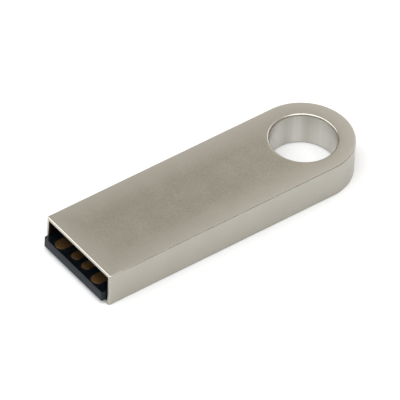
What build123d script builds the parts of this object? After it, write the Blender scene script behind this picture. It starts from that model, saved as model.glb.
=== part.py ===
from build123d import *
import os

# Slim USB flash drive: a one-piece metal housing with a keyring bore, and a chip-on-board memory
# module bonded to the floor of its open end, where housing and module together make the USB plug.
# Millimetres. +X runs out of the plug, +Z is the contact side, and the origin is the centre of the
# drive's footprint on the surface it lies on.

# Housing
housing_length = 39.0
housing_width = 12.35
housing_height = 4.55
side_wall = 0.38
roof_wall = 0.40
floor_wall = 0.42
edge_radius = 0.12
mouth_corner_radius = 0.16
cavity_depth = 27.0
cavity_corner_radius = 0.20
deburr_radius = 0.05
bore_radius = 4.05
bore_edge_radius = 0.25

# Memory module, with the chips under the board and the contacts on top
module_length = 24.8
module_width = 11.36
module_height = 1.4
module_proud = 0.60
module_offset = -0.11
front_corner_radius = 0.22
tail_corner_radius = 0.20
compound_edge_radius = 0.12
board_thickness = 0.26
mask_thickness = 0.03
pad_thickness = 0.04
copper_thickness = 0.02

# Contact pads: width, distance of the front end from the module's front, length and place across
outer_contact_width = 1.7
outer_contact_setback = 0.20
outer_contact_length = 7.8
outer_contact_offset = 3.5
inner_contact_width = 1.35
inner_contact_setback = 0.65
inner_contact_length = 6.85
inner_contact_offset = 1.0
mask_window_gap = 0.05

# Factory test pads, in rows behind the contacts
test_pad_size = 0.9
test_pad_corner = 0.2
test_pad_pitch = 1.7
test_pad_columns = 6
test_pad_row_pitch = 1.8
test_pads_from_front = 17.5

# Plated vias under the tail of each contact
via_radius = 0.12
via_pitch = 0.5
via_from_front = 6.9

# Silicon
controller_length = 2.4
controller_width = 2.8
controller_thickness = 0.15
controller_from_front = 10.4
flash_length = 10.4
flash_width = 8.8
flash_thickness = 0.12
flash_from_front = 18.3
flash_step = 0.6
film_thickness = 0.02

# Bond wires: ball bonds on the chips, stitches on gold fingers
wire_radius = 0.0125
ball_radius = 0.035
ball_height = 0.02
wire_rise = 0.12
wire_bend_radius = 0.06
pad_inset = 0.12
controller_wires_a_side = 8
controller_wire_pitch = 0.32
controller_wire_span = 0.75
flash_wires_a_die = 12
flash_wire_pitch = 0.62
flash_wire_span = 0.55
finger_length = 0.28
finger_width = 0.12
finger_row_pitch = 0.40
track_width = 0.16
track_spacing = 0.35

# Parts soldered under the board, as places across the width
crystal_length = 2.5
crystal_width = 2.0
crystal_base_height = 0.40
crystal_lid_height = 0.15
crystal_lid_inset = 0.15
crystal_from_front = 10.4
crystal_across = 3.7
chip_length = 1.0
chip_width = 0.5
chip_terminal_length = 0.25
capacitor_height = 0.5
resistor_height = 0.35
solder_thickness = 0.03
capacitor_rows_from_front = (9.6, 11.0)
capacitors_across = (-2.9, -4.3)
resistor_from_front = 4.0
resistors_across = (-2.2, 0.0, 2.2)

# Bonding film under the module and spacer block above its tail
bond_film_thickness = 0.06
bond_film_length = 21.5
bond_film_width = 10.2
bond_film_setback = 2.4
spacer_from_mouth = 13.5
spacer_side_gap = 0.08
spacer_chamfer = 0.4
spacer_grip_radius = 1.2
spacer_grip_depth = 0.8

# Places worked out from the sizes above
module_front = (housing_length + module_proud) / 2
mouth = module_front - module_proud
tail = mouth - housing_length
end_radius = housing_width / 2
end_centre = tail + end_radius
cavity_end = mouth - cavity_depth
cavity_width = housing_width - 2 * side_wall
cavity_roof = housing_height - roof_wall
module_bottom = floor_wall + bond_film_thickness
module_top = module_bottom + module_height
board_top = module_top - pad_thickness
board_bottom = board_top - board_thickness
copper_bottom = board_bottom - copper_thickness
module_tail = module_front - module_length

parts = {}


def keep(builder, name):
    """Labels a finished piece and writes it to its own file."""
    builder.part.label = name
    parts[name] = builder.part
    export_step(builder.part, f"parts/{name}.step")


def behind(distance):
    """X of a point that lies this far behind the module's front edge."""
    return module_front - distance


def across(distance):
    """Y of a point this far from the module's centre line, which lies a little off the housing's."""
    return module_offset + distance


def block(low, high, mode=Mode.ADD):
    """A box between two opposite corners, in the part being built."""
    size = [b - a for a, b in zip(low, high)]
    centre = tuple((a + b) / 2 for a, b in zip(low, high))
    with Locations(centre):
        Box(*size, mode=mode)


def centred_block(x, y, top, length, width, height):
    """A box that hangs from a level; y is its place across the module."""
    low = (x - length / 2, across(y) - width / 2, top - height)
    high = (x + length / 2, across(y) + width / 2, top)
    block(low, high)


def module_slab(bottom, top):
    """The module's outline between two levels, with its front and tail corners rounded."""
    with BuildSketch(Plane.XY.offset(bottom)) as outline:
        with Locations((module_front - module_length / 2, across(0))):
            Rectangle(module_length, module_width)
        corners = outline.vertices().sort_by(Axis.X)
        fillet(corners[2:], front_corner_radius)
        fillet(outline.vertices().sort_by(Axis.X)[:2], tail_corner_radius)
    extrude(outline.sketch, amount=top - bottom)


def contact_outline(side):
    """Centre, overall length and width of one contact pad; side is -2, -1, 1 or 2."""
    if abs(side) == 2:
        width, length, setback = outer_contact_width, outer_contact_length, outer_contact_setback
        offset_y = outer_contact_offset
    else:
        width, length, setback = inner_contact_width, inner_contact_length, inner_contact_setback
        offset_y = inner_contact_offset
    y = offset_y if side > 0 else -offset_y
    return (behind(setback + length / 2), across(y)), length, width


def via_places():
    """Places of the vias, in pairs along the tail of each contact."""
    return [
        (behind(via_from_front + step), contact_outline(side)[0][1])
        for side in (-2, -1, 1, 2)
        for step in (-via_pitch / 2, via_pitch / 2)
    ]


def row_places(count, pitch):
    """Places across the width of a centred row."""
    return [(i - (count - 1) / 2) * pitch for i in range(count)]


os.makedirs("parts", exist_ok=True)

# --- Housing: a bar with one round end, bored for a keyring and hollowed from the other end
with BuildPart() as housing:
    with BuildSketch() as bar_outline:
        with Locations(((mouth + end_centre) / 2, 0)):
            Rectangle(mouth - end_centre, housing_width)
        with Locations((end_centre, 0)):
            Circle(end_radius)
        fillet(bar_outline.vertices().group_by(Axis.X)[-1], mouth_corner_radius)
    extrude(amount=housing_height)
    rims = housing.faces().filter_by(Axis.Z)
    fillet(rims.edges(), edge_radius)
    with Locations((end_centre, 0, housing_height)):
        Hole(bore_radius)
    bore_edges = housing.edges().filter_by(GeomType.CIRCLE)
    fillet(bore_edges.filter_by(lambda e: abs(e.radius - bore_radius) < 1e-6), bore_edge_radius)
    with BuildSketch(Plane.YZ.offset(mouth)):
        with Locations((0, (floor_wall + cavity_roof) / 2)):
            RectangleRounded(cavity_width, cavity_roof - floor_wall, cavity_corner_radius)
    extrude(amount=-cavity_depth, mode=Mode.SUBTRACT)
    mouth_face = housing.faces().sort_by(Axis.X)[-1]
    fillet(mouth_face.inner_wires()[0].edges(), deburr_radius)
keep(housing, "housing")

# --- Film that bonds the module to the housing floor
with BuildPart() as bond_film:
    front = behind(bond_film_setback)
    block(
        (front - bond_film_length, across(-bond_film_width / 2), floor_wall),
        (front, across(bond_film_width / 2), module_bottom),
    )
keep(bond_film, "bonding_film")

# --- Spacer block: fills the cavity above the module's tail and behind it
with BuildPart() as spacer:
    half = cavity_width / 2 - spacer_side_gap
    front = mouth - spacer_from_mouth
    with BuildSketch(Plane.XZ.offset(-half)) as side_view:
        with BuildLine():
            Polyline(
                (cavity_end, floor_wall),
                (module_tail, floor_wall),
                (module_tail, module_top),
                (front, module_top),
                (front, cavity_roof - spacer_chamfer),
                (front - spacer_chamfer, cavity_roof),
                (cavity_end, cavity_roof),
                close=True,
            )
        make_face()
    extrude(amount=2 * half)
    long_edges = spacer.edges().filter_by(Axis.X).group_by(Axis.Z)
    fillet(long_edges[0] + long_edges[-1], cavity_corner_radius)
    with Locations((front, 0, cavity_roof)):
        Cylinder(spacer_grip_radius, 2 * spacer_grip_depth, mode=Mode.SUBTRACT)
keep(spacer, "spacer_block")

# --- Contacts and test pads, gold on the board's top face
contact_names = {-2: "contact_ground", -1: "contact_data_plus", 1: "contact_data_minus", 2: "contact_power"}
for side, name in contact_names.items():
    centre, length, width = contact_outline(side)
    with BuildPart() as contact:
        with BuildSketch(Plane.XY.offset(board_top)):
            with Locations(centre):
                SlotOverall(length, width)
        extrude(amount=pad_thickness)
    keep(contact, name)

with BuildPart() as test_pads:
    with BuildSketch(Plane.XY.offset(board_top)):
        with Locations((behind(test_pads_from_front), across(0))):
            with GridLocations(test_pad_row_pitch, test_pad_pitch, 2, test_pad_columns):
                RectangleRounded(test_pad_size, test_pad_size, test_pad_corner)
    extrude(amount=pad_thickness)
keep(test_pads, "test_pads")

# --- Solder mask: a skin over the board with a window round each pad
with BuildPart() as mask:
    module_slab(board_top, board_top + mask_thickness)
    with BuildSketch(Plane.XY.offset(board_top)):
        for side in contact_names:
            centre, length, width = contact_outline(side)
            with Locations(centre):
                SlotOverall(length + 2 * mask_window_gap, width + 2 * mask_window_gap)
        window = test_pad_size + 2 * mask_window_gap
        with Locations((behind(test_pads_from_front), across(0))):
            with GridLocations(test_pad_row_pitch, test_pad_pitch, 2, test_pad_columns):
                RectangleRounded(window, window, test_pad_corner + mask_window_gap)
    extrude(amount=mask_thickness, mode=Mode.SUBTRACT)
keep(mask, "solder_mask")

# --- Board, drilled for the vias
with BuildPart() as board:
    module_slab(board_bottom, board_top)
    with BuildSketch(Plane.XY.offset(board_bottom)):
        with Locations(*via_places()):
            Circle(via_radius)
    extrude(amount=board_thickness, mode=Mode.SUBTRACT)
keep(board, "board")

with BuildPart() as vias:
    with BuildSketch(Plane.XY.offset(board_bottom)):
        with Locations(*via_places()):
            Circle(via_radius)
    extrude(amount=board_thickness)
keep(vias, "contact_vias")

# --- Chips and the films that hold them
controller_x = behind(controller_from_front)
flash_x = behind(flash_from_front)
controller_top = board_bottom - film_thickness
controller_face = controller_top - controller_thickness
base_die_top = board_bottom - film_thickness
base_die_face = base_die_top - flash_thickness
top_die_top = base_die_face - film_thickness
top_die_face = top_die_top - flash_thickness

chips = {
    "controller_film": (controller_x, board_bottom, controller_length, controller_width, film_thickness),
    "controller_die": (controller_x, controller_top, controller_length, controller_width, controller_thickness),
    "flash_film_inner": (flash_x, board_bottom, flash_length, flash_width, film_thickness),
    "flash_die_inner": (flash_x, base_die_top, flash_length, flash_width, flash_thickness),
    "flash_film_outer": (flash_x - flash_step, base_die_face, flash_length, flash_width, film_thickness),
    "flash_die_outer": (flash_x - flash_step, top_die_top, flash_length, flash_width, flash_thickness),
}
for name, (x, top, length, width, height) in chips.items():
    with BuildPart() as chip:
        centred_block(x, 0, top, length, width, height)
    keep(chip, name)

# --- Gold fingers that the bond wires land on
finger_x = {
    "controller_front": controller_x + controller_length / 2 + controller_wire_span,
    "controller_back": controller_x - controller_length / 2 - controller_wire_span,
    "flash_inner": flash_x + flash_length / 2 + flash_wire_span,
    "flash_outer": flash_x + flash_length / 2 + flash_wire_span + finger_row_pitch,
}
controller_rows = row_places(controller_wires_a_side, controller_wire_pitch)
flash_rows = row_places(flash_wires_a_die, flash_wire_pitch)
stagger = flash_wire_pitch / 2
with BuildPart() as fingers:
    for y in controller_rows:
        for row in ("controller_front", "controller_back"):
            centred_block(finger_x[row], y, board_bottom, finger_length, finger_width, copper_thickness)
    for y in flash_rows:
        centred_block(finger_x["flash_inner"], y, board_bottom, finger_length, finger_width, copper_thickness)
        y_outer = y + stagger
        centred_block(finger_x["flash_outer"], y_outer, board_bottom, finger_length, finger_width, copper_thickness)
keep(fingers, "bond_fingers")

# --- Copper tracks from the contacts' vias towards the controller
track_end = finger_x["controller_front"] + finger_length / 2
with BuildPart() as tracks:
    for side in contact_names:
        y = contact_outline(side)[0][1]
        start = behind(via_from_front) + via_pitch / 2 + via_radius
        inner = across(controller_rows[{-2: 0, -1: 2, 1: 5, 2: 7}[side]])
        turn = track_end + track_spacing * (3 - abs(side))
        with BuildSketch(Plane.XY.offset(copper_bottom)):
            with BuildLine():
                run = Polyline((start, y), (turn, y), (turn, inner), (track_end, inner))
                offset(run, amount=track_width / 2, side=Side.BOTH, kind=Kind.INTERSECTION)
            make_face()
        extrude(amount=copper_thickness)
keep(tracks, "contact_tracks")

# --- Crystal
crystal_x = behind(crystal_from_front)
solder_bottom = board_bottom - solder_thickness
with BuildPart() as crystal_base:
    centred_block(crystal_x, crystal_across, solder_bottom, crystal_length, crystal_width, crystal_base_height)
keep(crystal_base, "crystal_base")
with BuildPart() as crystal_lid:
    lid_top = solder_bottom - crystal_base_height
    lid_length = crystal_length - 2 * crystal_lid_inset
    lid_width = crystal_width - 2 * crystal_lid_inset
    centred_block(crystal_x, crystal_across, lid_top, lid_length, lid_width, crystal_lid_height)
keep(crystal_lid, "crystal_lid")

# --- Chip capacitors and resistors, each a body between two metal terminals
capacitor_places = [(behind(u), y) for u in capacitor_rows_from_front for y in capacitors_across]
resistor_places = [(behind(resistor_from_front), y) for y in resistors_across]
terminal_shift = (chip_length - chip_terminal_length) / 2
body_length = chip_length - 2 * chip_terminal_length
for kind, places, height in (
    ("capacitor", capacitor_places, capacitor_height),
    ("resistor", resistor_places, resistor_height),
):
    with BuildPart() as bodies:
        for x, y in places:
            centred_block(x, y, solder_bottom, body_length, chip_width, height)
    keep(bodies, f"{kind}_bodies")
    with BuildPart() as terminals:
        for x, y in places:
            for shift in (-terminal_shift, terminal_shift):
                centred_block(x + shift, y, solder_bottom, chip_terminal_length, chip_width, height)
    keep(terminals, f"{kind}_terminals")

with BuildPart() as solder:
    for x, y in capacitor_places + resistor_places:
        for shift in (-terminal_shift, terminal_shift):
            centred_block(x + shift, y, board_bottom, chip_terminal_length, chip_width, solder_thickness)
    for dx in (-0.9, 0.9):
        for dy in (-0.65, 0.65):
            centred_block(crystal_x + dx, crystal_across + dy, board_bottom, 0.6, 0.5, solder_thickness)
keep(solder, "solder_joints")


# --- Bond wires
def bond_wire(die_x, die_place, die_face, land_x, land_place):
    """A gold wire from a ball bond on a chip's face, out and over to a stitch on a finger."""
    die_y = across(die_place)
    land_y = across(land_place)
    top = (die_x, die_y, die_face - wire_rise)
    landing = (land_x, land_y, copper_bottom - wire_radius)
    with BuildLine() as loop:
        FilletPolyline((die_x, die_y, die_face), top, landing, radius=wire_bend_radius)
    with BuildSketch(Plane(origin=(die_x, die_y, die_face), z_dir=(0, 0, -1))) as section:
        Circle(wire_radius)
    sweep(section.sketch, path=loop.line)
    with Locations((die_x, die_y, die_face - ball_height / 2)):
        Cylinder(ball_radius, ball_height)


with BuildPart() as controller_wires:
    for y in controller_rows:
        for direction, row in ((1, "controller_front"), (-1, "controller_back")):
            start = controller_x + direction * (controller_length / 2 - pad_inset)
            bond_wire(start, y * 0.95, controller_face, finger_x[row], y)
keep(controller_wires, "controller_bond_wires")

with BuildPart() as flash_wires:
    for y in flash_rows:
        inner_start = flash_x + flash_length / 2 - pad_inset
        bond_wire(inner_start, y, base_die_face, finger_x["flash_inner"], y)
        outer_start = inner_start - flash_step
        bond_wire(outer_start, y + stagger, top_die_face, finger_x["flash_outer"], y + stagger)
keep(flash_wires, "flash_bond_wires")

# --- Mould compound: the rest of the module under the board, cast round everything on it
embedded = [
    name
    for name in parts
    if name.startswith(("controller", "flash", "crystal", "capacitor", "resistor", "bond_fingers"))
    or name in ("contact_tracks", "solder_joints")
]
with BuildPart() as compound:
    module_slab(module_bottom, board_bottom)
    fillet(compound.faces().sort_by(Axis.Z)[0].edges(), compound_edge_radius)
    for name in embedded:
        add(parts[name], mode=Mode.SUBTRACT)
keep(compound, "mould_compound")
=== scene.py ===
import math

import bmesh
import bpy
import numpy as np
from mathutils import Matrix, Vector


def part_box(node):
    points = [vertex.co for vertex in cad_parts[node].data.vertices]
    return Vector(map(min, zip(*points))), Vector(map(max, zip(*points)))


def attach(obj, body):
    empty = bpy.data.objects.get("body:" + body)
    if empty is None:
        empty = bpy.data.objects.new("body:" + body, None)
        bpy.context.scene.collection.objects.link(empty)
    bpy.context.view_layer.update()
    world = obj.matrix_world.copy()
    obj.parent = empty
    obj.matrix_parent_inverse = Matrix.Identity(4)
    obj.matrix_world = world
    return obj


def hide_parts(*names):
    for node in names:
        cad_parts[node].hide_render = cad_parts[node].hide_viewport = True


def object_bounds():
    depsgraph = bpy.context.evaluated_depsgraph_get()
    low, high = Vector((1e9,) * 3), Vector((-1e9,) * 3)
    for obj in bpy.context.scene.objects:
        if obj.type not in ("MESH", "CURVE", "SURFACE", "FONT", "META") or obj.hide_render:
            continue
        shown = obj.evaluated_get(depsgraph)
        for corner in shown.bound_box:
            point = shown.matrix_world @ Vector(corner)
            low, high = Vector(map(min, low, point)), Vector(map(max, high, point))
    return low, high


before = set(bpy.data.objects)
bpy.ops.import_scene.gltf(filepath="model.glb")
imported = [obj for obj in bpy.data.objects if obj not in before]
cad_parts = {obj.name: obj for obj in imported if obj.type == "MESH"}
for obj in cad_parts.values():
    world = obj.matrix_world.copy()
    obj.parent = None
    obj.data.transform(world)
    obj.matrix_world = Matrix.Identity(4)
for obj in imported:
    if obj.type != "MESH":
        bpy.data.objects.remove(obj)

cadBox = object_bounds()
mm = 0.001
barLow, barHigh = (np.array(corner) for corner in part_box("housing"))
barHalf = float(barHigh[1] - barLow[1]) / 2
barHeight = float(barHigh[2] - barLow[2])
mouthX = float(barHigh[0])
boreX = float(barLow[0]) + barHalf
print("frame loaded:", len(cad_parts), "nodes")


# Turns a grid of points, rows by columns, into faces between neighbours. A closed grid joins its last
# column to its first. The named values spread over the grid's points.
def gridPatch(points, closed=False, **values):
    rows, columns = points.shape[:2]
    index = np.arange(rows * columns).reshape(rows, columns)
    if closed:
        index = np.concatenate([index, index[:, :1]], axis=1)
    corners = [index[:-1, :-1], index[:-1, 1:], index[1:, 1:], index[1:, :-1]]
    quads = np.stack(corners, axis=-1).reshape(-1, 4)
    spread = {name: np.broadcast_to(value, (rows, columns)).reshape(-1) for name, value in values.items()}
    return {"points": points.reshape(-1, 3), "quads": quads, "values": spread}


weldGrid = {"perMetre": 1e8, "offset": 0.37}


# Joins patches into one mesh: points that agree to a hundredth of a micron become one, and a quad that
# loses a side at a pole becomes a triangle. Each named value becomes a point attribute.
def surfacePiece(name, patches, material):
    points = np.concatenate([patch["points"] for patch in patches])
    starts = np.cumsum([0] + [len(patch["points"]) for patch in patches[:-1]])
    quads = np.concatenate([patch["quads"] + start for patch, start in zip(patches, starts)])
    keys = np.floor(points * weldGrid["perMetre"] + weldGrid["offset"]).astype(np.int64)
    first, where = np.unique(keys, axis=0, return_index=True, return_inverse=True)[1:]
    quads = where.reshape(-1)[quads]
    short = quads == np.roll(quads, -1, axis=1)
    whole = quads[~short.any(axis=1)]
    pinched = short.sum(axis=1) == 1
    triangles = quads[pinched][~short[pinched]].reshape(-1, 3)
    mesh = bpy.data.meshes.new(name)
    mesh.from_pydata(points[first].tolist(), [], whole.tolist() + triangles.tolist())
    for key in patches[0]["values"]:
        layer = mesh.attributes.new(key, "FLOAT", "POINT")
        joined = np.concatenate([patch["values"][key] for patch in patches])[first]
        layer.data.foreach_set("value", joined.astype(np.float32))
    work = bmesh.new()
    work.from_mesh(mesh)
    bmesh.ops.recalc_face_normals(work, faces=work.faces)
    work.to_mesh(mesh)
    work.free()
    mesh.polygons.foreach_set("use_smooth", [True] * len(mesh.polygons))
    mesh.materials.append(material)
    piece = bpy.data.objects.new(name, mesh)
    bpy.context.scene.collection.objects.link(piece)
    return piece


# Numbers from 0 to 1 that crowd towards both ends, as the shadow of equal steps round a half circle.
def crowdedSteps(count):
    return (1 - np.cos(np.pi * np.arange(count + 1) / count)) / 2


# Rows of flat points raised to the heights z, one for each point or one for each row.
def placed(flat, z):
    return np.concatenate([flat, np.broadcast_to(z, flat.shape[:2])[:, :, None]], axis=2)


# Sets smooth normals by face area, so that a flat stays flat beside its rounded edge.
def evenNormals(piece):
    weighted = piece.modifiers.new("even normals", "WEIGHTED_NORMAL")
    weighted.weight = 100
    weighted.keep_sharp = False


# Puts a new piece in the place of its CAD node, on the one body.
def handOver(piece, node):
    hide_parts(node)
    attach(piece, "root")


# One output socket, so that shader maths is written as plain arithmetic.
class Value:
    def __init__(self, graph, socket):
        self.graph = graph
        self.socket = socket

    def maths(self, operation, first, second=0.0):
        return self.graph.node("ShaderNodeMath", {"operation": operation}, {0: first, 1: second})

    def __add__(self, other):
        return self.maths("ADD", self, other)

    def __radd__(self, other):
        return self.maths("ADD", other, self)

    def __sub__(self, other):
        return self.maths("SUBTRACT", self, other)

    def __rsub__(self, other):
        return self.maths("SUBTRACT", other, self)

    def __mul__(self, other):
        return self.maths("MULTIPLY", self, other)

    def __rmul__(self, other):
        return self.maths("MULTIPLY", other, self)

    def __pow__(self, other):
        return self.maths("POWER", self, other)

    def __abs__(self):
        return self.maths("ABSOLUTE", self)

    def atLeast(self, other):
        return self.maths("MAXIMUM", self, other)

    def atMost(self, other):
        return self.maths("MINIMUM", self, other)


# One material; node() adds any node from its type, its settings and the values or links of its inputs.
class Finish:
    def __init__(self, name, **constants):
        self.material = bpy.data.materials.new(name)
        self.material.use_nodes = True
        self.tree = self.material.node_tree
        self.shader = self.tree.nodes["Principled BSDF"]
        self.place = self.node("ShaderNodeTexCoord", output="Object")
        for key, value in constants.items():
            self.shader.inputs[key].default_value = value

    def node(self, kind, settings=None, inputs=None, output=0):
        made = self.tree.nodes.new(kind)
        for key, value in (settings or {}).items():
            setattr(made, key, value)
        for key, value in (inputs or {}).items():
            self.feed(made.inputs[key], value)
        return Value(self, made.outputs[output])

    def feed(self, socket, value):
        if isinstance(value, Value):
            self.tree.links.new(value.socket, socket)
        else:
            socket.default_value = value

    def stretched(self, scale):
        return self.node("ShaderNodeMapping", None, {"Vector": self.place, "Scale": scale})

    # shape is the noise's scale, its detail and its roughness
    def noise(self, shape, vector=None):
        inputs = dict(zip(("Scale", "Detail", "Roughness"), shape))
        return self.node("ShaderNodeTexNoise", None, {"Vector": vector or self.place, **inputs})

    def waves(self, direction, inputs):
        settings = {"wave_type": "BANDS", "bands_direction": direction}
        return self.node("ShaderNodeTexWave", settings, {"Vector": self.place, **inputs}, output="Fac")

    def axis(self, vector, which):
        return self.node("ShaderNodeSeparateXYZ", None, {0: vector}, output=which)

    # 0 up to the first bound, 1 from the second on, and a straight ramp between
    def ramp(self, value, bounds):
        inputs = {"Value": value, "From Min": bounds[0], "From Max": bounds[1]}
        return self.node("ShaderNodeMapRange", {"clamp": True}, inputs)

    # the unnamed sockets are the factor and the two colours of a Mix node
    def blend(self, factor, first, second):
        mixed = self.tree.nodes.new("ShaderNodeMix")
        mixed.data_type = "RGBA"
        self.feed(mixed.inputs[0], factor)
        for socket, colour in ((6, first), (7, second)):
            self.feed(mixed.inputs[socket], colour if isinstance(colour, Value) else (*colour, 1))
        return Value(self, mixed.outputs[2])

    def attribute(self, name):
        return self.node("ShaderNodeAttribute", {"attribute_name": name}, output="Fac")

    def colour(self, value):
        self.feed(self.shader.inputs["Base Color"], value)

    def rough(self, value):
        self.feed(self.shader.inputs["Roughness"], value)

    def bump(self, height, distance, strength):
        inputs = {"Height": height, "Distance": distance, "Strength": strength}
        self.feed(self.shader.inputs["Normal"], self.node("ShaderNodeBump", None, inputs))


nickelLook = {
    # the third colour is lighter wear that also paints light on the tail end and, low on the sides, painted
    # shade
    "base": (0.310, 0.292, 0.244), "tone": (0.388, 0.369, 0.316), "wornAndLit": (0.478, 0.462, 0.418),
    "polished": (0.520, 0.504, 0.462), "bright": (0.60, 0.585, 0.545), "bareAndShaded": (0.040, 0.018, 0.010),
    "roughness": 0.38, "insideRoughness": 0.55, "cloudRough": 0.06, "grainRough": 0.10,
    "wornSmooth": 0.05, "rubSmooth": 0.08, "polishSmooth": 0.06,
    "wearAndLightRamp": (0.0, 4.0 * mm), "wearAndLightPower": 1.4, "levelRamp": (0.3, 0.8),
    "sideWearAndShade": 0.2, "sideReach": 1.6, "rubShield": 0.6,
    "cloudNoise": (300, 4, 0.6), "cloudRamp": (0.36, 0.64), "cloudShare": 0.35,
    "bandNoise": (1.0, 2, 0.5), "bandStretch": (620, 620, 0), "bandRamp": (0.35, 0.65),
    "bandReflectionMix": 0.7, "rimGlintMix": 0.55,
    "grainNoise": (5200, 3, 0.65), "grainRamp": (0.38, 0.62),
    "grainHeight": 0.0030 * mm, "grainStrength": 0.6,
}


# Tumbled plating: grainy in the middle of each face, lighter and smoother towards the edges, which the
# tumbling reaches first. The same lightening is partly painted light: it makes the rounded tail end lighter,
# and on the sides it is painted shade that darkens them towards the bottom. The distance to the bar's outline
# is the bar's half width less the distance from its spine, or the distance from the mouth if that is less; on
# the sides it is the distance from the top. The attributes add to it: rub is a rounded edge, which with polish
# carries a painted highlight; polish a burnished face, which on the sides, down the bore and on the mouth face
# is also painted brightening that stands for light from the floor; reamed the bright bands down the bore,
# painted reflections that run down it like reamer marks; and inside the bare metal of the cavity, darkened to
# a dark brown as painted shade.
def satinNickel(look=nickelLook):
    finish = Finish("satinNickel", Metallic=1.0)
    grain = finish.noise(look["grainNoise"])
    cloud = finish.noise(look["cloudNoise"])
    downwards = finish.noise(look["bandNoise"], finish.stretched(look["bandStretch"]))
    # painted reflections: bright bands that run down the bore
    reflectionBands = finish.ramp(downwards, look["bandRamp"])
    rub, polish, inside, reamed = (finish.attribute(name) for name in ("rub", "polish", "inside", "reamed"))
    x, y, z = (finish.axis(finish.place, which) for which in range(3))
    up = finish.axis(finish.node("ShaderNodeNewGeometry", output="Normal"), 2)
    behind = (boreX - x).atLeast(0.0)
    fromSpine = (behind * behind + y * y) ** 0.5
    fromEdge = (barHalf - fromSpine).atMost(mouthX - x)
    fromTop = (barHeight - z) * look["sideReach"]
    level = finish.ramp(abs(up), look["levelRamp"])
    reach = level * fromEdge + (1 - level) * fromTop
    share = look["sideWearAndShade"] + (1 - look["sideWearAndShade"]) * level
    # wear with painted light and shade: lighter round the tail end, and on the sides darker towards the bottom
    wornAndLit = (1 - finish.ramp(reach, look["wearAndLightRamp"])) ** look["wearAndLightPower"] * share
    clouds = look["cloudShare"] * finish.ramp(cloud, look["cloudRamp"])
    mottle = clouds + (1 - look["cloudShare"]) * finish.ramp(grain, look["grainRamp"])
    plating = finish.blend(mottle, look["base"], look["tone"])
    plating = finish.blend(wornAndLit * (1 - look["rubShield"] * rub), plating, look["wornAndLit"])
    # painted light: on the sides, down the bore and on the mouth face this lighter polished colour also stands
    # for light from the floor
    plating = finish.blend(polish, plating, look["polished"])
    # painted highlights: glints on the polished rounded edges, and painted reflections in bands down the bore
    paintedGlints = reamed * reflectionBands * look["bandReflectionMix"] + look["rimGlintMix"] * rub * polish
    plating = finish.blend(paintedGlints, plating, look["bright"])
    # painted shade: the cavity darkens to a dark brown
    finish.colour(finish.blend(inside, plating, look["bareAndShaded"]))
    uneven = look["roughness"] + look["cloudRough"] * (cloud - 0.5) + look["grainRough"] * (grain - 0.5)
    smoothed = uneven - look["wornSmooth"] * wornAndLit - look["rubSmooth"] * rub - look["polishSmooth"] * polish
    finish.rough(smoothed + inside * (look["insideRoughness"] - look["roughness"]))
    finish.bump(grain, look["grainHeight"], look["grainStrength"])
    return finish.material


goldLook = {
    "base": (0.97, 0.60, 0.25), "thin": (0.88, 0.48, 0.18), "dull": (0.22, 0.13, 0.06),
    "roughness": 0.27, "streakRough": 0.06, "stainRough": 0.05,
    "stainNoise": (1500, 3, 0.6), "stainRamp": (0.35, 0.75), "stainMix": 0.7,
    "streakNoise": (1.0, 2, 0.5), "streakStretch": (900, 6000, 900),
    "streakHeight": 0.0002 * mm, "streakStrength": 0.3,
}
bondGoldLook = {**goldLook, "base": (0.85, 0.62, 0.28), "thin": (0.80, 0.56, 0.24), "roughness": 0.16}


# Thin plating, stained in places, drawn into faint streaks along the pads, and darkened round a pad's
# edge with painted shade that dims its lit rim.
def thinGold(name, look):
    finish = Finish(name, Metallic=1.0)
    streaks = finish.noise(look["streakNoise"], finish.stretched(look["streakStretch"]))
    stains = finish.ramp(finish.noise(look["stainNoise"]), look["stainRamp"])
    plating = finish.blend(look["stainMix"] * stains, look["base"], look["thin"])
    # painted shade: the pad's rim darkens to dim its lit edge
    finish.colour(finish.blend(finish.attribute("edge"), plating, look["dull"]))
    finish.rough(look["roughness"] + look["streakRough"] * streaks + look["stainRough"] * stains)
    finish.bump(streaks, look["streakHeight"], look["streakStrength"])
    return finish.material


maskLook = {
    "base": (0.0022, 0.0034, 0.0048), "high": (0.005, 0.007, 0.009), "coat": 0.3, "coatRoughness": 0.08,
    "roughness": 0.16, "weaveRough": 0.05, "dustRough": 0.10, "weaveMix": 0.6, "dustMix": 0.3,
    "weave": {"Scale": 320, "Distortion": 0.6, "Detail": 1.0, "Detail Scale": 2.0},
    "weaveHeight": 0.0010 * mm, "weaveStrength": 0.4, "dustNoise": (7000, 2, 0.6), "dustRamp": (0.55, 0.75),
}


# Glossy lacquer with the glass weave under it showing faintly.
def maskLacquer(look=maskLook):
    finish = Finish("maskLacquer", **{
        "Metallic": 0.0, "Coat Weight": look["coat"], "Coat Roughness": look["coatRoughness"]})
    warp, weft = (finish.waves(direction, look["weave"]) for direction in "XY")
    weave = warp * 0.5 + weft * 0.5
    dust = finish.ramp(finish.noise(look["dustNoise"]), look["dustRamp"])
    finish.colour(finish.blend(weave * look["weaveMix"] + dust * look["dustMix"], look["base"], look["high"]))
    finish.rough(look["roughness"] + look["weaveRough"] * weave + look["dustRough"] * dust)
    finish.bump(weave, look["weaveHeight"], look["weaveStrength"])
    return finish.material


epoxyLook = {
    "base": (0.006, 0.010, 0.014), "high": (0.012, 0.018, 0.024), "specular": 0.16,
    "roughness": 0.42, "fillerRough": 0.10, "flowRough": 0.06, "fillerMix": 0.6, "flowMix": 0.4,
    "fillerNoise": (14000, 3, 0.7), "fillerRamp": (0.50, 0.70), "flowNoise": (500, 3, 0.5),
    "fillerHeight": 0.0020 * mm, "fillerStrength": 0.4,
}


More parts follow.
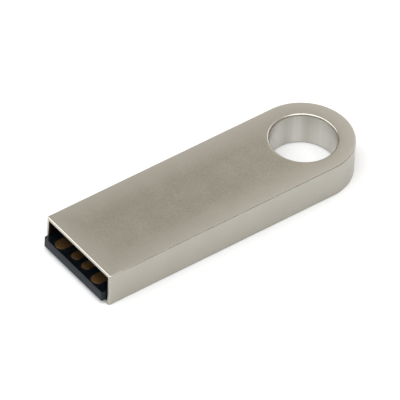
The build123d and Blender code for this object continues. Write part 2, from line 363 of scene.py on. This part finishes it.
# Fine filled epoxy: small pale filler grains in a dark body.
def mouldEpoxy(look=epoxyLook):
    finish = Finish("mouldEpoxy", **{"Metallic": 0.0, "Specular IOR Level": look["specular"]})
    filler = finish.ramp(finish.noise(look["fillerNoise"]), look["fillerRamp"])
    flow = finish.noise(look["flowNoise"])
    finish.colour(finish.blend(look["fillerMix"] * filler + look["flowMix"] * flow, look["base"], look["high"]))
    finish.rough(look["roughness"] + look["fillerRough"] * filler + look["flowRough"] * (flow - 0.5))
    finish.bump(filler, look["fillerHeight"], look["fillerStrength"])
    return finish.material


laminateLook = {
    "resin": (0.006, 0.010, 0.014), "glass": (0.014, 0.022, 0.030), "specular": 0.16,
    "roughness": 0.48, "brokenRough": 0.18, "brokenNoise": (5000, 3, 0.6),
    "plies": {"Scale": 3000, "Distortion": 1.5, "Detail": 2.0}, "plyHeight": 0.002 * mm, "plyStrength": 0.5,
}


# Cut edge of a laminate: thin level layers of glass in resin, broken up along their length.
def laminateEdge(look=laminateLook):
    finish = Finish("laminateEdge", **{"Metallic": 0.0, "Specular IOR Level": look["specular"]})
    plies = finish.waves("Z", look["plies"])
    broken = finish.noise(look["brokenNoise"])
    finish.colour(finish.blend(plies * broken, look["resin"], look["glass"]))
    finish.rough(look["roughness"] + look["brokenRough"] * broken)
    finish.bump(plies * broken, look["plyHeight"], look["plyStrength"])
    return finish.material


grainLook = {
    "grainShape": (3, 0.6), "cloudShape": (2, 0.5), "cloudRatio": 12,
    "grainRough": 0.10, "cloudRough": 0.06, "strength": 0.5,
}


# A plain body with grain and cloudy tone, for the pieces inside; the height is in millimetres.
def grainedFinish(name, base, tone, roughness, scale, height, metallic, look=grainLook):
    finish = Finish(name, Metallic=metallic)
    grain = finish.noise((scale, *look["grainShape"]))
    cloud = finish.noise((scale / look["cloudRatio"], *look["cloudShape"]))
    finish.colour(finish.blend(0.5 * grain + 0.5 * cloud, base, tone))
    finish.rough(roughness + look["grainRough"] * (grain - 0.5) + look["cloudRough"] * (cloud - 0.5))
    finish.bump(grain, height * mm, look["strength"])
    return finish.material


dieNodes = ("controller_die", "flash_die_inner", "flash_die_outer")
filmNodes = ("controller_film", "flash_film_inner", "flash_film_outer")

# CAD nodes, then their finish's name, base, tone, roughness, grain scale, grain height and metallic
grainedBodies = (
    (("bonding_film",), "acrylicFilm", (0.48, 0.45, 0.38), (0.60, 0.57, 0.50), 0.35, 3000, 0.004, 0.0),
    (("spacer_block",), "blackAbs", (0.014, 0.014, 0.015), (0.024, 0.024, 0.026), 0.50, 5000, 0.006, 0.0),
    (("contact_vias",), "viaCopper", (0.62, 0.33, 0.20), (0.75, 0.45, 0.30), 0.35, 9000, 0.001, 1.0),
    (("contact_tracks",), "trackCopper", (0.66, 0.36, 0.22), (0.72, 0.42, 0.28), 0.32, 7000, 0.001, 1.0),
    (("crystal_base",), "crystalCeramic", (0.30, 0.26, 0.21), (0.42, 0.38, 0.31), 0.55, 8000, 0.002, 0.0),
    (("crystal_lid",), "crystalSteel", (0.60, 0.58, 0.54), (0.68, 0.66, 0.62), 0.28, 6000, 0.001, 1.0),
    (("capacitor_bodies",), "tanCeramic", (0.36, 0.25, 0.15), (0.50, 0.37, 0.24), 0.45, 9000, 0.001, 0.0),
    (("resistor_bodies",), "resistorGlaze", (0.020, 0.020, 0.022), (0.05, 0.05, 0.055), 0.22, 9000, 0.001, 0.0),
    (("capacitor_terminals", "resistor_terminals"), "brightTin",
     (0.66, 0.66, 0.64), (0.78, 0.78, 0.76), 0.30, 9000, 0.002, 1.0),
    (("solder_joints",), "dullSolder", (0.52, 0.53, 0.54), (0.66, 0.66, 0.66), 0.38, 7000, 0.003, 1.0),
    (dieNodes, "polishedSilicon", (0.10, 0.105, 0.13), (0.15, 0.155, 0.18), 0.12, 4000, 0.0002, 0.6),
    (filmNodes, "dieFilm", (0.62, 0.55, 0.38), (0.72, 0.66, 0.50), 0.6, 6000, 0.001, 0.0),
)

nickel = satinNickel()
gold = thinGold("contactGold", goldLook)
bondGold = thinGold("bondGold", bondGoldLook)
cadFinishes = {
    "solder_mask": maskLacquer(), "mould_compound": mouldEpoxy(), "board": laminateEdge(),
    "test_pads": gold, "bond_fingers": gold,
    "controller_bond_wires": bondGold, "flash_bond_wires": bondGold,
}
for nodes, *settings in grainedBodies:
    cadFinishes.update(dict.fromkeys(nodes, grainedFinish(*settings)))
for node, material in cadFinishes.items():
    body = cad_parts[node]
    body.data.materials.clear()
    body.data.materials.append(material)
print("finishes on", len(cadFinishes), "carried pieces")


housing = {
    "edge": 0.12 * mm, "mouthEdge": 0.20 * mm, "mouthCorner": 0.20 * mm,
    "boreRadius": 4.05 * mm, "boreEdge": 0.25 * mm,
    "sideWall": 0.38 * mm, "roofWall": 0.40 * mm, "floorWall": 0.42 * mm,
    # the last value here is how deep the cavity's painted shade takes to come in
    "cavityDepth": 27.0 * mm, "cavityCorner": 0.20 * mm, "deburr": 0.05 * mm, "bareShadeDepth": 0.3 * mm,
    # the bore, side and mouth face polish also paint brightening that stands for light from the floor, and the
    # top rim's paints a highlight
    "borePolishSheen": 0.56, "topRimPolishGlint": 0.4, "sidePolishSheen": 0.36, "mouthPolishSheen": 0.5,
    "frontSteps": 72, "cornerSteps": 8, "sideSteps": 60, "endSteps": 132,
    "edgeSteps": 8, "wallSteps": 28, "faceSteps": 20, "depthSteps": 30,
    "mouthFaceSteps": 8, "deburrSteps": 6, "cavityEndSteps": 7,
}


# Outline of the bar as points, outward normals and the radius of the rounding there, from the mouth's -Y
# corner round by +Y: the straight mouth, a quarter turn, the side, the half turn about the bore, the other
# side and a quarter turn.
def barOutline(cut=housing):
    reach = barHalf - cut["mouthCorner"]
    across = (2 * crowdedSteps(cut["frontSteps"]) - 1) * reach
    front = np.stack([np.full_like(across, mouthX), across], axis=1)
    frontOut = np.broadcast_to([1.0, 0.0], front.shape)
    turn = np.linspace(0, np.pi / 2, cut["cornerSteps"] + 1)[1:]
    cornerOut = np.stack([np.cos(turn), np.sin(turn)], axis=1)
    corner = [mouthX - cut["mouthCorner"], reach] + cut["mouthCorner"] * cornerOut
    lean = np.linspace(np.arctan2(barHalf, corner[-1, 0] - boreX), np.pi / 2, cut["sideSteps"] + 1)[1:-1]
    side = np.stack([boreX + barHalf / np.tan(lean), np.full_like(lean, barHalf)], axis=1)
    sideOut = np.broadcast_to([0.0, 1.0], side.shape)
    sweep = np.linspace(np.pi / 2, np.pi, cut["endSteps"] // 2 + 1)
    endOut = np.stack([np.cos(sweep), np.sin(sweep)], axis=1)
    end = [boreX, 0] + barHalf * endOut
    half = np.concatenate([corner, side, end])
    halfOut = np.concatenate([cornerOut, sideOut, endOut])
    halfEdge = cut["edge"] + (cut["mouthEdge"] - cut["edge"]) * np.clip(halfOut[:, 0], 0, 1)
    outline = np.concatenate([front, half, half[-2:0:-1] * [1, -1]])
    outward = np.concatenate([frontOut, halfOut, halfOut[-2:0:-1] * [1, -1]])
    rounding = np.concatenate([np.full(len(front), cut["mouthEdge"]), halfEdge, halfEdge[-2:0:-1]])
    return outline, outward, rounding


# Outer skin: each row is either the outline moved in by d, at height z, or a circle about the bore, or a
# straight blend of the two across the top and the underside. The rows run up the bore, over its rounded
# rim, across the top, over the edge, down the side and back underneath. Each part comes with the values
# of its attributes; a rounded edge is rubbed most at its middle, where it also carries a painted highlight.
def barSkin(cut=housing):
    outline, outward, edge = barOutline(cut)
    centre = np.array([boreX, 0.0])
    away = outline - centre
    bearing = np.arctan2(away[:, 1], away[:, 0])
    circle = np.stack([np.cos(bearing), np.sin(bearing)], axis=1)
    quarter = np.linspace(0, np.pi / 2, cut["edgeSteps"] + 1)
    height, rim, bore = barHeight, cut["boreEdge"], cut["boreRadius"]

    def circleRows(radius, z):
        return placed(centre + radius[:, None, None] * circle, z[:, None])

    def outlineRows(inset, z):
        return placed(outline - inset[:, :, None] * outward, z)

    share = crowdedSteps(cut["faceSteps"])[:, None, None]
    wall = crowdedSteps(cut["wallSteps"])[:, None]
    inwards = edge * (1 - np.cos(quarter))[:, None]
    endwards = edge * (1 - np.sin(quarter))[:, None]
    boreWall = circleRows(np.full(len(wall), bore), rim + (height - 2 * rim) * wall[:, 0])
    topRim = circleRows(bore + rim * (1 - np.cos(quarter)), height - rim * (1 - np.sin(quarter)))
    topEdge = outlineRows(inwards[::-1], height - endwards[::-1])
    sideWall = outlineRows(np.zeros((len(wall), len(edge))), edge + (height - 2 * edge) * wall[::-1])
    lowEdge = outlineRows(inwards, endwards)
    lowRim = circleRows(bore + rim * (1 - np.cos(quarter[::-1])), rim * (1 - np.sin(quarter[::-1])))
    top = topRim[-1] * (1 - share) + topEdge[0] * share
    under = lowEdge[-1] * (1 - share) + lowRim[0] * share
    rounded = np.sin(2 * quarter)[:, None]
    # painted highlight along the rounded edge over the mouth
    overMouth = rounded * np.clip(outward[:, 0], 0, 1)
    return {
        # the bore: its bands are painted reflections and its polish is partly painted brightening
        "bore": (boreWall, {"polish": cut["borePolishSheen"], "reamed": 1.0}),
        "topRim": (topRim, {"rub": rounded, "polish": cut["topRimPolishGlint"]}),
        "top": (top, {}),
        "topEdge": (topEdge, {"rub": rounded, "polish": overMouth}),
        "side": (sideWall, {"polish": cut["sidePolishSheen"]}),
        "lowEdge": (lowEdge, {"rub": rounded}),
        "under": (under, {}),
        "lowRim": (lowRim, {"rub": rounded, "polish": 1.0}),
    }


# One side of a rounded rectangle across the mouth, as points and outward normals in Y and Z. It starts
# and ends in the middle of a corner, and a share of its length picks the point.
def mouthSide(share, halfWidth, halfHeight, radius, quarterTurns):
    if quarterTurns % 2:
        halfWidth, halfHeight = halfHeight, halfWidth
    arc = radius * np.pi / 4
    straight = 2 * (halfWidth - radius)
    along = share * (2 * arc + straight)
    lead = np.clip(arc - along, 0, arc) / radius
    trail = np.clip(along - arc - straight, 0, arc) / radius
    lean = trail - lead
    flat = np.clip(along - arc, 0, straight) - straight / 2
    point = np.stack([flat + radius * np.sin(lean), halfHeight - radius + radius * np.cos(lean)], axis=1)
    normal = np.stack([np.sin(lean), np.cos(lean)], axis=1)
    turn = -quarterTurns * np.pi / 2
    spin = np.array([[np.cos(turn), -np.sin(turn)], [np.sin(turn), np.cos(turn)]]).round()
    return point @ spin.T, normal @ spin.T


# Mouth and cavity: rows run from the rim of the flat mouth face in to the opening, round its broken edge,
# back along the cavity's walls and in over its end to a point. Just inside, the colour goes from the plating
# to the bare metal, darkened to a dark brown as painted shade of the cavity.
def barMouth(cut=housing):
    reach = barHalf - cut["mouthCorner"]
    bottom, top = cut["mouthEdge"], barHeight - cut["mouthEdge"]
    wide = crowdedSteps(cut["frontSteps"])
    tall = crowdedSteps(cut["wallSteps"])
    rimY = np.concatenate([
        (2 * wide - 1) * reach, np.full_like(tall, reach),
        (1 - 2 * wide) * reach, np.full_like(tall, -reach)])
    rimZ = np.concatenate([
        np.full_like(wide, top), top + (bottom - top) * tall,
        np.full_like(wide, bottom), bottom + (top - bottom) * tall])
    rim = np.stack([rimY, rimZ], axis=1)
    halfWidth = barHalf - cut["sideWall"]
    floorZ, roofZ = cut["floorWall"], barHeight - cut["roofWall"]
    middle = np.array([0.0, (floorZ + roofZ) / 2])
    sides = [
        mouthSide(share, halfWidth, (roofZ - floorZ) / 2, cut["cavityCorner"], turns)
        for turns, share in enumerate((wide, tall, wide, tall))
    ]
    opening = np.concatenate([side[0] for side in sides]) + middle
    outward = np.concatenate([side[1] for side in sides])

    def ring(flat, x, rub=0.0, polish=0.0, inside=0.0):
        depth = np.broadcast_to(np.asarray(x)[:, None, None], (*flat.shape[:2], 1))
        points = np.concatenate([depth, flat], axis=2)
        return gridPatch(points, True, rub=rub, polish=polish, reamed=0.0, inside=inside)

    share = crowdedSteps(cut["mouthFaceSteps"])[:, None, None]
    face = rim * (1 - share) + (opening + cut["deburr"] * outward) * share
    quarter = np.linspace(0, np.pi / 2, cut["deburrSteps"] + 1)
    lip = opening + (cut["deburr"] * (1 - np.sin(quarter)))[:, None, None] * outward
    back = crowdedSteps(cut["depthSteps"])
    walls = np.broadcast_to(opening, (len(back), *opening.shape))
    shrink = np.linspace(1, 0, cut["cavityEndSteps"] + 1)[:, None, None]
    end = middle + (opening - middle) * shrink
    inner = mouthX - cut["cavityDepth"]
    start = mouthX - cut["deburr"]
    # painted shade coming in over the first short depth of the cavity
    fade = np.clip(back * (start - inner) / cut["bareShadeDepth"], 0, 1)[:, None]
    return [
        ring(face, np.full(len(face), mouthX), polish=cut["mouthPolishSheen"]),
        # painted highlight on the opening's broken edge
        ring(lip, start + cut["deburr"] * np.cos(quarter), rub=1.0, polish=1.0),
        ring(walls, start + (inner - start) * back, inside=fade),
        ring(end, np.full(len(end), inner), inside=1.0),
    ]


def buildHousing(cut=housing):
    plain = {"rub": 0.0, "polish": 0.0, "reamed": 0.0, "inside": 0.0}
    patches = []
    for name, (rows, values) in barSkin(cut).items():
        if name == "side":
            # the flat mouth face is left to barMouth, so this patch starts at the mouth's +Y corner
            rows = np.concatenate([rows[:, cut["frontSteps"]:], rows[:, :1]], axis=1)
        patches.append(gridPatch(rows, name != "side", **{**plain, **values}))
    piece = surfacePiece("housingShell", patches + barMouth(cut), nickel)
    evenNormals(piece)
    handOver(piece, "housing")
    return piece


shell = buildHousing()
print("housing:", len(shell.data.polygons), "faces")


contactCut = {"round": 0.018 * mm, "endSteps": 24, "sideSteps": 24, "roundSteps": 6, "topSteps": 6}


# A slot-shaped pad: a straight spine, carried outwards by the same distance all round; the rows go from the
# spine under the pad out to its wall, up, over a small round and back to the spine on top. The edge value
# is 1 up to the end of the round and 0 on the rows of the flat top; it carries the painted shade that
# darkens the pad's rim.
def buildContact(node, cut=contactCut):
    padLow, padHigh = (np.array(corner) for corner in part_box(node))
    radius = (padHigh[1] - padLow[1]) / 2
    middleY = (padHigh[1] + padLow[1]) / 2
    turn = np.linspace(-np.pi / 2, np.pi / 2, cut["endSteps"] + 1)
    run = np.linspace(0, 1, cut["sideSteps"] + 1)[1:-1]
    frontX, backX = padHigh[0] - radius, padLow[0] + radius
    spineX = np.concatenate([
        np.full_like(turn, frontX), frontX + (backX - frontX) * run,
        np.full_like(turn, backX), backX + (frontX - backX) * run])
    spine = np.stack([spineX, np.full_like(spineX, middleY)], axis=1)
    bearing = np.concatenate([turn, np.full_like(run, np.pi / 2), turn + np.pi, np.full_like(run, -np.pi / 2)])
    outward = np.stack([np.cos(bearing), np.sin(bearing)], axis=1)
    quarter = np.linspace(0, np.pi / 2, cut["roundSteps"] + 1)
    thickness = padHigh[2] - padLow[2]
    inwards = 1 - crowdedSteps(cut["topSteps"])[1:]
    reach = np.concatenate([
        np.linspace(0, 1, cut["topSteps"] + 1),
        1 - cut["round"] / radius * (1 - np.cos(quarter)),
        (1 - cut["round"] / radius) * inwards,
    ]) * radius
    rise = np.concatenate([
        np.zeros(cut["topSteps"] + 1),
        thickness - cut["round"] * (1 - np.sin(quarter)),
        np.full(len(inwards), thickness),
    ])
    edge = np.concatenate([np.ones(len(reach) - len(inwards)), np.zeros(len(inwards))])[:, None]
    points = placed(spine + reach[:, None, None] * outward, (padLow[2] + rise)[:, None])
    piece = surfacePiece(node + "Pad", [gridPatch(points, True, edge=edge)], gold)
    evenNormals(piece)
    handOver(piece, node)
    return piece


for node in ("contact_power", "contact_data_minus", "contact_data_plus", "contact_ground"):
    buildContact(node)
print("contacts built")


floorLook = {
    "size": 3.0, "steps": 8, "gap": 0.02 * mm,
    "base": (0.855, 0.872, 0.892), "shade": 0.995, "roughness": 0.9, "toneNoise": (40, 2, 0.5),
}


# Flat floor a hair below the drive, so that the two level faces do not share one plane.
def buildFloor(look=floorLook):
    finish = Finish("studioPaper", Metallic=0.0, Roughness=look["roughness"])
    shaded = [channel * look["shade"] for channel in look["base"]]
    finish.colour(finish.blend(finish.noise(look["toneNoise"]), shaded, look["base"]))
    reach = np.linspace(-look["size"] / 2, look["size"] / 2, look["steps"] + 1)
    x, y = np.meshgrid(reach, reach, indexing="ij")
    level = np.full_like(x, cadBox[0][2] - look["gap"])
    floor = surfacePiece("studioFloor", [gridPatch(np.stack([x, y, level], axis=2))], finish.material)
    if floor.data.polygons[0].normal.z < 0:
        floor.data.flip_normals()


buildFloor()

lamps = {
    "cameraBox": {
        "azimuth": 50, "elevation": 70, "away": 1.2, "size": (1.6, 1.2),
        "power": 15.0, "tint": (0.99, 0.995, 1.0)},
    "mouthBox": {
        "azimuth": -42, "elevation": 36, "away": 1.2, "size": (1.1, 0.85),
        "power": 5.2, "tint": (1.0, 0.99, 0.98)},
    "tailBox": {
        "azimuth": 205, "elevation": 35, "away": 0.9, "size": (0.5, 0.5),
        "power": 1.2, "tint": (1.0, 0.99, 0.98)},
}


# Unit vector towards a bearing from +X and a height above the level, both in degrees.
def heading(look):
    azimuth, elevation = math.radians(look["azimuth"]), math.radians(look["elevation"])
    level = math.cos(elevation)
    return Vector((math.cos(azimuth) * level, math.sin(azimuth) * level, math.sin(elevation)))


# A rectangular lamp at a bearing and height about the drive, facing it.
def buildLamp(name, look):
    lamp = bpy.data.lights.new(name, "AREA")
    lamp.shape = "RECTANGLE"
    lamp.size, lamp.size_y = look["size"]
    lamp.energy = look["power"]
    lamp.color = look["tint"]
    holder = bpy.data.objects.new(name, lamp)
    towards = heading(look)
    holder.location = look["away"] * towards
    holder.rotation_euler = (-towards).to_track_quat("-Z", "Y").to_euler()
    bpy.context.scene.collection.objects.link(holder)


for name, look in lamps.items():
    buildLamp(name, look)

airLook = {"colour": (1.0, 0.95, 0.88, 1), "strength": 0.60}


def buildAir(look=airLook):
    world = bpy.data.worlds.new("studioAir")
    world.use_nodes = True
    background = world.node_tree.nodes["Background"]
    background.inputs["Color"].default_value = look["colour"]
    background.inputs["Strength"].default_value = look["strength"]
    bpy.context.scene.world = world


buildAir()
bpy.context.scene.view_settings.view_transform = "Standard"

cameraView = {
    "azimuth": 50.80063, "elevation": 43.26676, "roll": 3.33833,
    "distance": 0.962387, "aim": (-14.762 * mm, 3.612 * mm, 6.938 * mm),
    "lens": 746.8, "sensor": 36, "clip": (0.05, 10),
}


# Stands back along the viewing direction from the aim point, which is measured from the middle of the
# mouth's lower edge, and rolls about that line.
def buildCamera(view=cameraView):
    back = heading(view)
    right = Vector((0, 0, 1)).cross(back).normalized()
    up = back.cross(right)
    roll = math.radians(view["roll"])
    turnedRight = right * math.cos(roll) + up * math.sin(roll)
    turnedUp = up * math.cos(roll) - right * math.sin(roll)
    data = bpy.data.cameras.new("studioCamera")
    data.lens = view["lens"]
    data.sensor_width = view["sensor"]
    data.clip_start, data.clip_end = view["clip"]
    camera = bpy.data.objects.new("studioCamera", data)
    place = Matrix((turnedRight, turnedUp, back)).transposed().to_4x4()
    place.translation = Vector((mouthX, 0, 0)) + Vector(view["aim"]) + back * view["distance"]
    camera.matrix_world = place
    bpy.context.scene.collection.objects.link(camera)
    bpy.context.scene.camera = camera


buildCamera()
print("studio ready")
